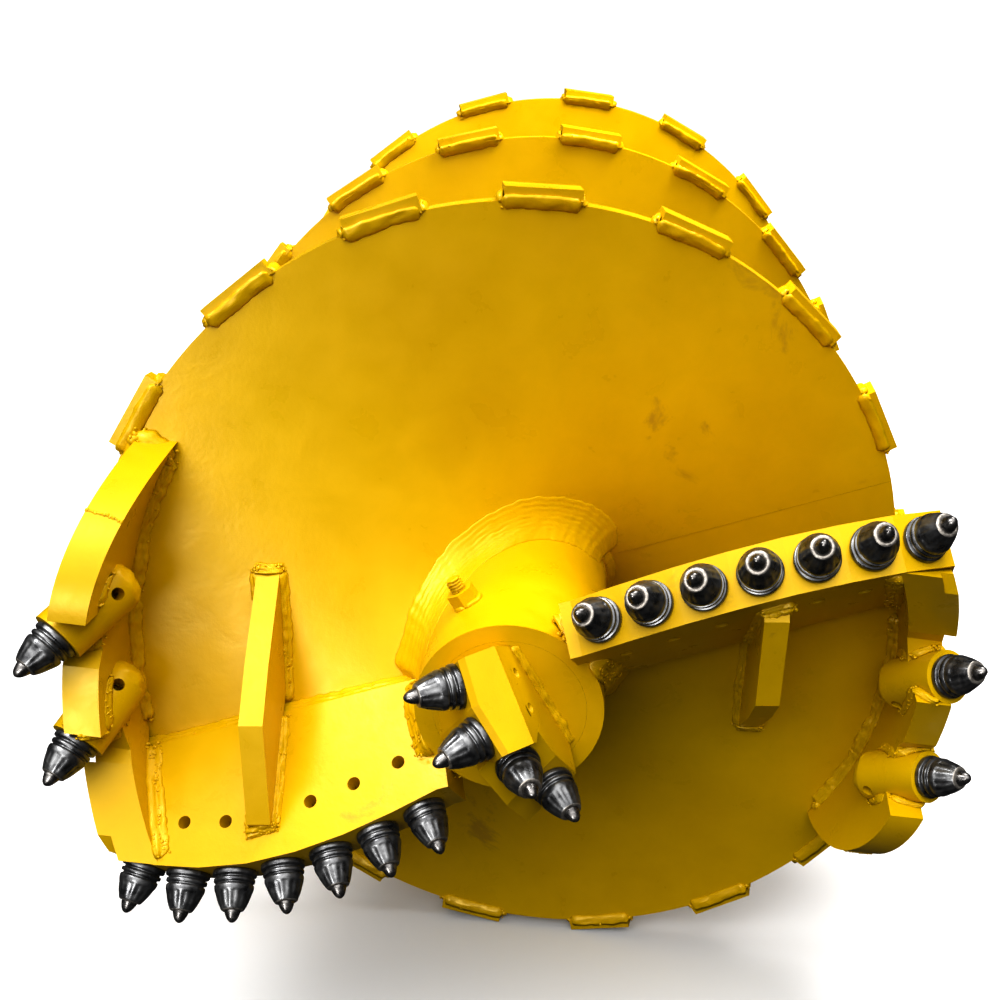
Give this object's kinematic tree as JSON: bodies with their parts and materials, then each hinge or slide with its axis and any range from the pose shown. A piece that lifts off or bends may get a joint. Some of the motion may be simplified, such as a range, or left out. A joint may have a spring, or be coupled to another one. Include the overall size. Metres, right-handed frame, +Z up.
{
  "type": "rock drilling auger",
  "caption": "Double cut rock auger with a spiral flight round a core tube, round shank bullet teeth that turn in thick cutting plates, and a square kelly box.",
  "frame": {"origin": "on the auger's axis where the kelly pin crosses it, in the kelly box", "axes": "+Y along the auger's axis from the cutting end to the kelly box, +Z up as it lies on the ground, +X to the right seen from the cutting end"},
  "size_m": [1.337, 2.4428, 1.3236],
  "materials": {
    "yellow_paint": "gloss enamel, a little worn",
    "tool_steel": "oiled black"
  },
  "bodies": {
    "auger": {"core_tube": "yellow_paint", "cutting_plate_a": "yellow_paint", "cutting_plate_b": "yellow_paint", "end_cap": "yellow_paint", "flight_a1": "yellow_paint", "flight_a2": "yellow_paint", "flight_a3": "yellow_paint", "flight_a4": "yellow_paint", "flight_a5": "yellow_paint", "flight_b1": "yellow_paint", "gauge_segment_a": "yellow_paint", "gauge_segment_b": "yellow_paint", "gauge_sleeve_a1": "yellow_paint", "gauge_sleeve_a2": "yellow_paint", "gauge_sleeve_b1": "yellow_paint", "gauge_sleeve_b2": "yellow_paint", "kelly_box": "yellow_paint", "kelly_flange": "yellow_paint", "kelly_gussets": "yellow_paint", "pilot_plate_1": "yellow_paint", "pilot_plate_2": "yellow_paint", "rib_a": "yellow_paint", "rib_b": "yellow_paint", "vent_plug": "yellow_paint", "wear_blocks_a1": "yellow_paint", "wear_blocks_a2": "yellow_paint", "wear_blocks_a3": "yellow_paint", "wear_blocks_a4": "yellow_paint", "wear_blocks_a5": "yellow_paint", "wear_blocks_b1": "yellow_paint"},
    "gauge_tooth_a1_body": {"gauge_tooth_a1": "tool_steel"},
    "gauge_tooth_a2_body": {"gauge_tooth_a2": "tool_steel"},
    "gauge_tooth_b1_body": {"gauge_tooth_b1": "tool_steel"},
    "gauge_tooth_b2_body": {"gauge_tooth_b2": "tool_steel"},
    "pilot_tooth_1_body": {"pilot_tooth_1": "tool_steel"},
    "pilot_tooth_2_body": {"pilot_tooth_2": "tool_steel"},
    "pilot_tooth_3_body": {"pilot_tooth_3": "tool_steel"},
    "pilot_tooth_4_body": {"pilot_tooth_4": "tool_steel"},
    "tooth_a1_body": {"tooth_a1": "tool_steel"},
    "tooth_a2_body": {"tooth_a2": "tool_steel"},
    "tooth_a3_body": {"tooth_a3": "tool_steel"},
    "tooth_a4_body": {"tooth_a4": "tool_steel"},
    "tooth_a5_body": {"tooth_a5": "tool_steel"},
    "tooth_a6_body": {"tooth_a6": "tool_steel"},
    "tooth_a7_body": {"tooth_a7": "tool_steel"},
    "tooth_b1_body": {"tooth_b1": "tool_steel"},
    "tooth_b2_body": {"tooth_b2": "tool_steel"},
    "tooth_b3_body": {"tooth_b3": "tool_steel"},
    "tooth_b4_body": {"tooth_b4": "tool_steel"},
    "tooth_b5_body": {"tooth_b5": "tool_steel"},
    "tooth_b6_body": {"tooth_b6": "tool_steel"},
    "tooth_b7_body": {"tooth_b7": "tool_steel"}
  },
  "joints": [
    {"name": "gauge_tooth_a1_turn", "type": "hinge", "parent": "auger", "child": "gauge_tooth_a1_body", "pos_m": [-0.62815, -2.132, -0.05772], "axis": [-0.4452, -0.7299, -0.5187], "continuous": true},
    {"name": "gauge_tooth_a2_turn", "type": "hinge", "parent": "auger", "child": "gauge_tooth_a2_body", "pos_m": [-0.62069, -2.134, 0.11246], "axis": [-0.5937, -0.6859, -0.4209], "continuous": true},
    {"name": "gauge_tooth_b1_turn", "type": "hinge", "parent": "auger", "child": "gauge_tooth_b1_body", "pos_m": [0.62815, -2.132, 0.05772], "axis": [0.4452, -0.7299, 0.5187], "continuous": true},
    {"name": "gauge_tooth_b2_turn", "type": "hinge", "parent": "auger", "child": "gauge_tooth_b2_body", "pos_m": [0.62069, -2.134, -0.11246], "axis": [0.5937, -0.6859, 0.4209], "continuous": true},
    {"name": "pilot_tooth_1_turn", "type": "hinge", "parent": "auger", "child": "pilot_tooth_1_body", "pos_m": [-0.06063, -2.21623, 0.08487], "axis": [-0.8911, -0.4538, -0.0001], "continuous": true},
    {"name": "pilot_tooth_2_turn", "type": "hinge", "parent": "auger", "child": "pilot_tooth_2_body", "pos_m": [-0.02897, -2.25517, 0.02813], "axis": [-0.7748, -0.5968, -0.2086], "continuous": true},
    {"name": "pilot_tooth_3_turn", "type": "hinge", "parent": "auger", "child": "pilot_tooth_3_body", "pos_m": [0.06073, -2.20752, -0.07743], "axis": [0.5135, -0.8156, -0.2666], "continuous": true},
    {"name": "pilot_tooth_4_turn", "type": "hinge", "parent": "auger", "child": "pilot_tooth_4_body", "pos_m": [0.01688, -2.23948, -0.02457], "axis": [0.3523, -0.9331, -0.0724], "continuous": true},
    {"name": "tooth_a1_turn", "type": "hinge", "parent": "auger", "child": "tooth_a1_body", "pos_m": [-0.13134, -2.15731, -0.15625], "axis": [0.4045, -0.7541, -0.5175], "continuous": true},
    {"name": "tooth_a2_turn", "type": "hinge", "parent": "auger", "child": "tooth_a2_body", "pos_m": [-0.19995, -2.17032, -0.18743], "axis": [0.3622, -0.7621, -0.5367], "continuous": true},
    {"name": "tooth_a3_turn", "type": "hinge", "parent": "auger", "child": "tooth_a3_body", "pos_m": [-0.27033, -2.17941, -0.21581], "axis": [0.2819, -0.7725, -0.5691], "continuous": true},
    {"name": "tooth_a4_turn", "type": "hinge", "parent": "auger", "child": "tooth_a4_body", "pos_m": [-0.34275, -2.18267, -0.23988], "axis": [0.1777, -0.7771, -0.6037], "continuous": true},
    {"name": "tooth_a5_turn", "type": "hinge", "parent": "auger", "child": "tooth_a5_body", "pos_m": [-0.41674, -2.17828, -0.25795], "axis": [0.0339, -0.7686, -0.6388], "continuous": true},
    {"name": "tooth_a6_turn", "type": "hinge", "parent": "auger", "child": "tooth_a6_body", "pos_m": [-0.49117, -2.16559, -0.26914], "axis": [-0.097, -0.7463, -0.6585], "continuous": true},
    {"name": "tooth_a7_turn", "type": "hinge", "parent": "auger", "child": "tooth_a7_body", "pos_m": [-0.56377, -2.14307, -0.2715], "axis": [-0.3032, -0.6823, -0.6652], "continuous": true},
    {"name": "tooth_b1_turn", "type": "hinge", "parent": "auger", "child": "tooth_b1_body", "pos_m": [0.13134, -2.15731, 0.15625], "axis": [-0.4045, -0.7541, 0.5175], "continuous": true},
    {"name": "tooth_b2_turn", "type": "hinge", "parent": "auger", "child": "tooth_b2_body", "pos_m": [0.19995, -2.17032, 0.18743], "axis": [-0.3622, -0.7621, 0.5367], "continuous": true},
    {"name": "tooth_b3_turn", "type": "hinge", "parent": "auger", "child": "tooth_b3_body", "pos_m": [0.27033, -2.17941, 0.21581], "axis": [-0.2819, -0.7725, 0.5691], "continuous": true},
    {"name": "tooth_b4_turn", "type": "hinge", "parent": "auger", "child": "tooth_b4_body", "pos_m": [0.34275, -2.18267, 0.23988], "axis": [-0.1777, -0.7771, 0.6037], "continuous": true},
    {"name": "tooth_b5_turn", "type": "hinge", "parent": "auger", "child": "tooth_b5_body", "pos_m": [0.41674, -2.17828, 0.25795], "axis": [-0.0339, -0.7686, 0.6388], "continuous": true},
    {"name": "tooth_b6_turn", "type": "hinge", "parent": "auger", "child": "tooth_b6_body", "pos_m": [0.49117, -2.16559, 0.26914], "axis": [0.097, -0.7463, 0.6585], "continuous": true},
    {"name": "tooth_b7_turn", "type": "hinge", "parent": "auger", "child": "tooth_b7_body", "pos_m": [0.56377, -2.14307, 0.2715], "axis": [0.3032, -0.6823, 0.6652], "continuous": true}
  ]
}
